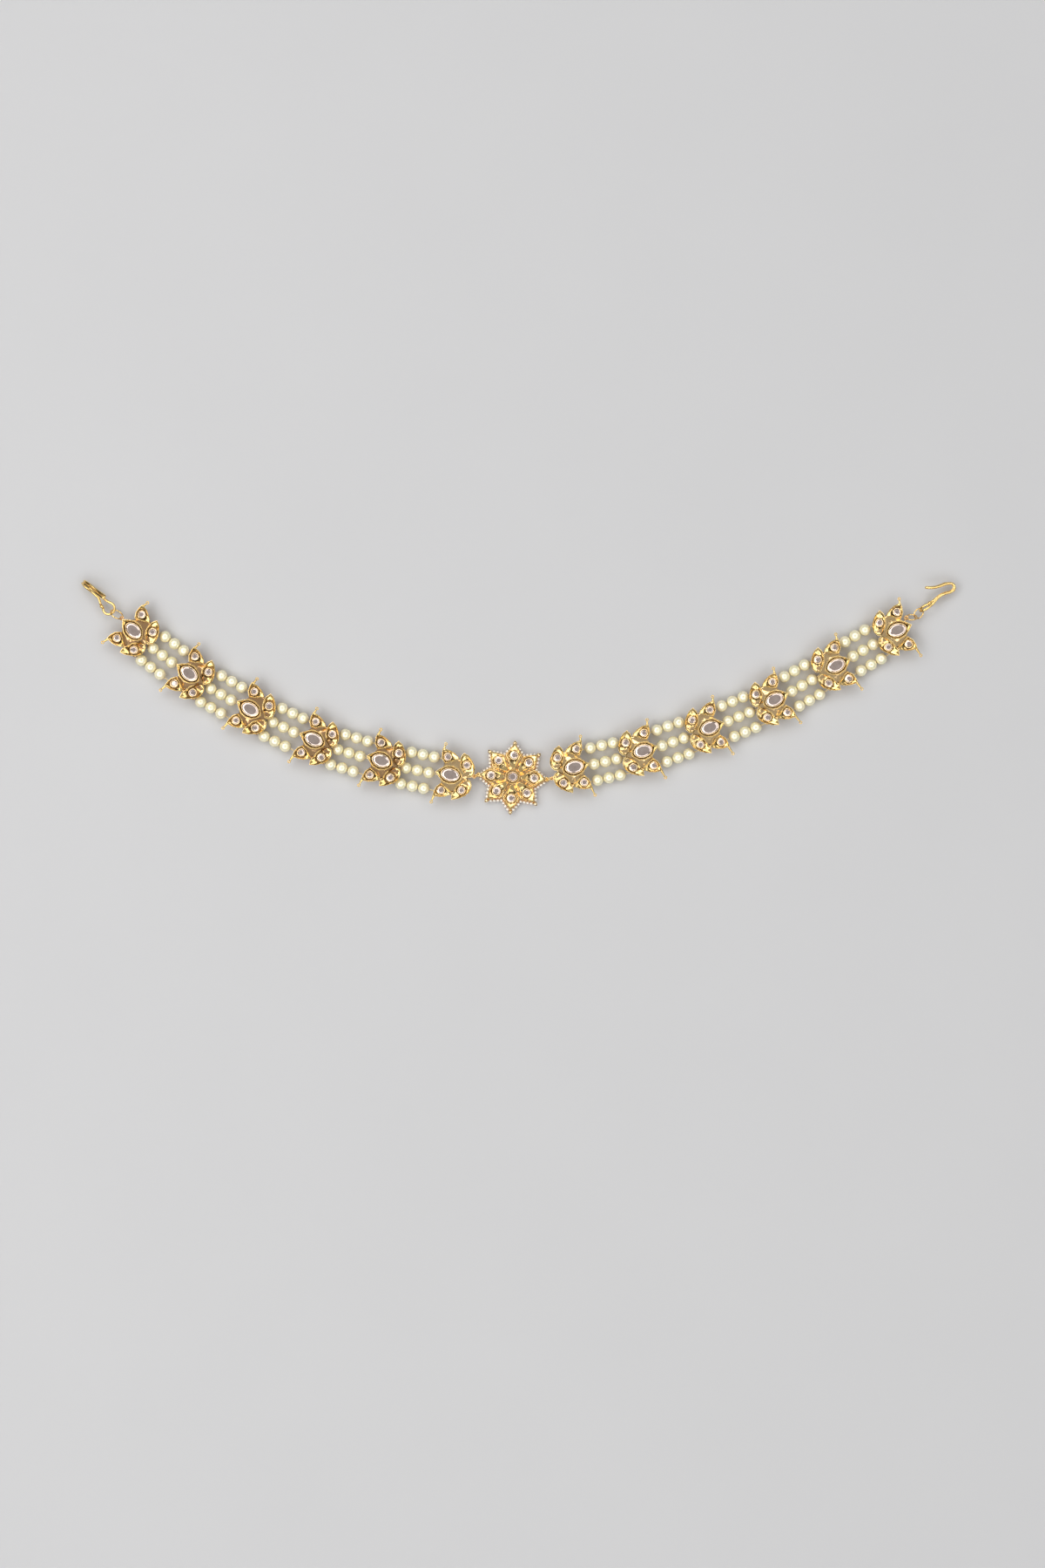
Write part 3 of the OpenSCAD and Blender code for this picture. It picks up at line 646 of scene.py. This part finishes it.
def set_stones(cut, number):
    if number == STAR:
        middle, petals = "star_middle_stone_cut", "star_petal_stones_cut"
    else:
        middle, petals = f"middle_stone_cut_{number}", f"petal_stones_cut_{number}"
    joined(cut[:1], middle, smoky_stone, "stone", middle.replace("_cut", ""))
    joined(cut[1:], petals, smoky_stone, "stone", petals.replace("_cut", ""))


for number, found in seats.items():
    cut = [cut_stone(seat, f"stone_{number}_{i}") for i, seat in enumerate(found)]
    for made in cut:
        only(made)
        bevel = made.modifiers.new("edge", "BEVEL")
        bevel.width, bevel.segments = STONE_EDGE_MM * MM, 1
        bevel.angle_limit = math.radians(STONE_EDGE_DEG)
        bpy.ops.object.modifier_apply(modifier="edge")
    set_stones(cut, number)
print("stones cut for the star:", len(cut))

# %% [markdown]
# ## Where shade is painted
# Deep in the cups the gold is painted dark brown, as painted shade for the shade and
# dark reflections there. Each point of a flower or the star gets a number that says
# how deep it lies below the rim of the cup nearest to it, and the gold's recipe reads
# that number. A node for ambient occlusion finds hollows too, but it works them out
# anew in each picture and is grainy, while a number in the mesh is smooth and stays.
# Points more than 1.2 mm below the rim belong to the outside of the cup, to a pin or
# to the plate, and get no painted shade.

# %% Mark the hollows
RIM_MM = LIP_MM + 0.7
HOLLOW_MM = 0.7
DEEPEST_MM = 1.2


def mark_hollows(piece, found):
    hollow = piece.data.attributes.new("hollow", "FLOAT", "POINT")
    for vertex, mark in zip(piece.data.vertices, hollow.data):
        near = min(found, key=lambda seat: (vertex.co.xy - seat.middle.xy).length - seat.half)
        depth_mm = (near.middle.z - vertex.co.z) / MM + RIM_MM
        mark.value = min(1.0, depth_mm / HOLLOW_MM) if 0 < depth_mm < DEEPEST_MM else 0.0


for number, flower in enumerate(flowers, start=1):
    mark_hollows(flower, seats[number])
mark_hollows(star, seats[STAR])
print("hollows are marked on", len(flowers) + 1, "pieces")

# %% [markdown]
# ## The foil collars
# A collar is a low ridge of pure gold foil, pressed from the cup's lip up to the
# stone's girdle and just over it. Its slopes are kept low as well, so the collar
# shows the lamps all the way round, and its inner edge hides the joint. The cup's own
# lip could have been bevelled instead, but foil is another metal with its own finish.
# The five rings of its outline are distances out from the girdle and up from the lip.

# %% Press the collars
COLLAR_MM = ((0.30, -0.05), (0.17, 0.05), (0.02, 0.14), (-0.06, 0.15), (-0.13, 0.08))
COLLAR_POINTS = 28


def collar(seat, name):
    row = [(seat.half + out * MM, seat.wide + out * MM, (LIP_MM + up) * MM)
           for out, up in COLLAR_MM]
    ring = start_ring(COLLAR_POINTS, row[0][0], row[0][1], name)
    bpy.ops.transform.translate(value=(0, 0, row[0][2]))
    for before, after in zip(row, row[1:]):
        pull_ring(before, after)
    put(seat.middle, seat.turn)
    bpy.ops.object.shade_smooth()
    return ring


for number, found in seats.items():
    rings = [collar(seat, f"collar_{number}_{i}") for i, seat in enumerate(found)]
    foil = joined(rings, f"foil_{number}" if number != STAR else "foil_star", foil_gold, "gold")
print("collars on", len(seats), "pieces, faces on the star:", len(foil.data.polygons))

# %% [markdown]
# ## A drilled ball
# The solid pearls come as balls of few facets, and a glossy coat shows every one of
# them. Smooth shading alone would leave a cornered outline. So one round pearl is
# modelled: a ball whose two poles are pushed in as the ends of the drilled hole. The
# poles are picked by their height, which does what a click on each would do.

# %% Model a ball and drill it
def pick(thing, wanted):
    """Selects the points of a mesh that pass a test, and opens it for editing."""
    only(thing)
    bpy.ops.object.mode_set(mode="EDIT")
    bpy.ops.mesh.select_mode(type="VERT")
    bpy.ops.mesh.select_all(action="DESELECT")
    bpy.ops.object.mode_set(mode="OBJECT")
    for vertex in thing.data.vertices:
        vertex.select = wanted(vertex.co)
    bpy.ops.object.mode_set(mode="EDIT")


def shaped_ball(diameter_mm, segments, rings, wanted, scale):
    bpy.ops.object.select_all(action="DESELECT")
    bpy.ops.mesh.primitive_uv_sphere_add(segments=segments, ring_count=rings,
                                         radius=diameter_mm / 2 * MM)
    ball = bpy.context.view_layer.objects.active
    pick(ball, wanted)
    bpy.ops.transform.resize(value=scale, center_override=(0, 0, 0))
    bpy.ops.object.mode_set(mode="OBJECT")
    bpy.ops.object.shade_smooth()
    return ball


def drilled_ball(diameter_mm, segments, rings, pole):
    return shaped_ball(diameter_mm, segments, rings,
                       lambda p: abs(p.z) > 0.49 * diameter_mm * MM, (pole, pole, pole))


print("a ball can be drilled")

# %% [markdown]
# ## Laying copies
# What repeats is modelled once and copied. A copy is laid by turning its own Z axis
# along the thread and moving it to its place. Both are then applied to its mesh, so
# that the object itself stays at the origin and the speckle of its finish stays put.
# An array along a curve would be quicker to set up. But each pearl has to lie where
# its solid one does, and each seed pearl gets a slightly different shape.

# %% Lay a copy
def laid_copy(model, way, place, scale=(1, 1, 1)):
    only(model)
    bpy.ops.object.duplicate()
    copy = bpy.context.view_layer.objects.active
    copy.scale = scale
    copy.rotation_mode = "QUATERNION"
    copy.rotation_quaternion = way.to_track_quat("Z", "Y")
    copy.location = place
    bpy.ops.object.transform_apply(location=True, rotation=True, scale=True)
    return copy


print("copies can be laid")

# %% [markdown]
# ## Stringing the pearls
# Each solid pearl gives the middle of its box, and the nearest pearl on the same
# string gives the way of the thread. The smooth pearls of a string become one piece,
# which stands for the solid string.

# %% String the pearls
PEARL_D = 3.98


def box_middle(points):
    return Vector([(min(p[i] for p in points) + max(p[i] for p in points)) / 2
                   for i in range(3)])


ball = drilled_ball(PEARL_D, 24, 14, pole=0.7)
strings = []
for node in sorted(nodes):
    if not node.startswith("pearls"):
        continue
    middles = [box_middle(points) for points in loose_pieces(node)]
    pearls = []
    for middle in middles:
        nearest = min((m for m in middles if m != middle), key=lambda m: (m - middle).length)
        pearls.append(laid_copy(ball, (nearest - middle).normalized(), middle))
    strings.append(joined(pearls, node + "_round", pearl_white, "pearl", node))
bpy.data.objects.remove(ball)
print("strings:", [s.name for s in strings], "pearls in one:", len(middles))

# %% [markdown]
# ## Seed pearls round the star
# The star wears a border of tiny pearls that follows its points. Its corners lie on
# two circles by turns, a wide one for the tips and a narrow one for the valleys.
# Seed pearls are copied along the sixteen sides: one in each valley and three more
# on the way to each point, a little flattened, each one by a different amount.

# %% Lay the border
POINTS = 8
TIP_R, VALLEY_R, STAR_TURN_DEG, STAR_DOWN = 12.1, 8.62, -4.0, 0.35
SEED_PITCH, SEEDS_PER_SIDE = 1.24, 4


def border_corner(i):
    radius = TIP_R if i % 2 == 0 else VALLEY_R
    angle = math.radians(STAR_TURN_DEG + i * 180 / POINTS)
    return Vector((radius * math.cos(angle), radius * math.sin(angle) - STAR_DOWN,
                   BORDER_UP)) * MM


places = []
for i in range(0, 2 * POINTS, 2):
    for side in (-1, 1):
        valley = border_corner(i + side)
        way = (border_corner(i) - valley).normalized()
        first = 0 if side == 1 else 1
        places += [(valley + way * step * SEED_PITCH * MM, way)
                   for step in range(first, SEEDS_PER_SIDE)]
seed = drilled_ball(SEED_D, 10, 7, pole=0.6)
seeds = [laid_copy(seed, way, place, (1.0, 0.93 + 0.07 * math.sin(5.1 * number), 0.97))
         for number, (place, way) in enumerate(places)]
bpy.data.objects.remove(seed)
border = joined(seeds, "seed_pearls", seed_white, "seed_pearl", "seed_pearl_edging")
print("seed pearls:", len(places))

# %% [markdown]
# ## A gold bead at each point
# At each tip of the star the border ends in a gold bead with a short peg that points
# outwards. It starts as a ball. Its upper part is drawn out and made narrow.

# %% End each point in a gold bead
BEAD_D, BEAD_IN, BEAD_UP = 1.44, 0.15, 0.55
bead = shaped_ball(BEAD_D, 12, 8, lambda p: p.z > 0.3 * MM, (0.5, 0.5, 1.25))
beads = []
for i in range(0, 2 * POINTS, 2):
    tip = border_corner(i)
    out = (tip - Vector((0, -STAR_DOWN * MM, tip.z))).normalized()
    beads.append(laid_copy(bead, out, tip - out * BEAD_IN * MM + Vector((0, 0, BEAD_UP * MM))))
bpy.data.objects.remove(bead)
tips = joined(beads, "star_tips", foil_gold, "gold")
print("gold beads:", len(beads))

# %% [markdown]
# ## The threads
# The threads keep their solid shapes, because only short bits of them show between
# the pearls. A solid part may get a new finish, as long as its mesh stays as it is.
# The solid border is dressed as well, although the seed pearls stand in for it.

# %% Give the threads their cotton
dressed = {name: cotton for name in nodes if name.startswith("thread")}
dressed["seed_pearl_edging"] = seed_white
for name, finish in dressed.items():
    nodes[name].data.materials.clear()
    nodes[name].data.materials.append(finish)
print("dressed:", sorted(dressed))

# %% [markdown]
# ## The table
# The object lies on a plain pale sheet, whose tone is a little uneven. A picture of
# paper could be laid on it, but from this far a broad soft speckle looks the same.

# %% Lay the table
bpy.ops.mesh.primitive_plane_add(size=4.0, location=(0, 0, 0))
floor = bpy.context.view_layer.objects.active
floor.name = "floor"
paper = Finish("paper", Roughness=0.8)
paper.feed(Base_Color=paper.mix(paper.speckle(60.0), (0.573, 0.576, 0.588, 1.0),
                                (0.591, 0.594, 0.606, 1.0)))
floor.data.materials.append(paper.material)
print("table side in m:", round(floor.dimensions.x, 1))

# %% [markdown]
# ## The lamps
# Polished metal and pearl show their lamps, so the lamps are part of the look. Seven
# soft boxes stand in a ring, 40 degrees from overhead. In a pearl they join into a
# bright ring with a grey middle, and every petal cup finds one of them. The two on
# the left stand nearer, so the table grows darker to the right, as it does in the
# photograph. Shadows come from all sides and stay soft. One large lamp overhead would
# be simpler, but flat gold would turn white and all the rest dark. A lamp's power is
# given as for a distance of 2.4 m and scaled with the square of its own distance.

# %% Hang the lamps
LAMPS = ((200, 14.5, 1.5), (150, 12.3, 1.5), (250, 10, 2.4), (100, 11.2, 2.4), (300, 10, 2.4),
         (45, 7.8, 2.4), (350, 6.7, 2.4))
FROM_TOP_DEG, USUAL_AWAY, LAMP_SIZE = 40, 2.4, 0.54


def softbox(azimuth_deg, power, away):
    data = bpy.data.lights.new(f"softbox_{azimuth_deg}", "AREA")
    data.shape, data.size = "SQUARE", LAMP_SIZE * away
    data.energy, data.color = power * (away / USUAL_AWAY) ** 2, (1.0, 0.99, 0.975)
    lamp = bpy.data.objects.new(data.name, data)
    bpy.context.scene.collection.objects.link(lamp)
    around, down = math.radians(azimuth_deg), math.radians(FROM_TOP_DEG)
    out = Vector((math.sin(down) * math.cos(around), math.sin(down) * math.sin(around),
                  math.cos(down)))
    lamp.location = out * away
    lamp.rotation_mode = "QUATERNION"
    lamp.rotation_quaternion = (-out).to_track_quat("-Z", "Y")


for lamp in LAMPS:
    softbox(*lamp)
print("soft boxes:", len(LAMPS))

# %% [markdown]
# ## The room
# The rest of the room is dark near the horizon and dim overhead. The dark part is
# what gives steep gold its brown, and the part overhead is what flat plates and the
# tables of the stones mirror. One even grey would be simpler, but gold would look like
# plastic in it. A ramp on the height of the view direction paints the room.

# %% Paint the room
ROOM = ((0.0, 0.03), (0.30, 0.05), (0.50, 0.16), (0.85, 0.26), (0.96, 0.36))
world = bpy.data.worlds.new("room")
world.use_nodes = True
room = world.node_tree
direction = add_node(room, "ShaderNodeTexCoord", output="Generated")
up = add_node(room, "ShaderNodeSeparateXYZ", sockets={0: direction}, output="Z")
glow = add_node(room, "ShaderNodeValToRGB",
                {"stops": [(place, (value, value, value, 1.0)) for place, value in ROOM]}, {0: up})
plug(room, room.nodes["Background"].inputs["Color"], glow)
bpy.context.scene.world = world
print("the room's brightness overhead:", ROOM[-1][1])
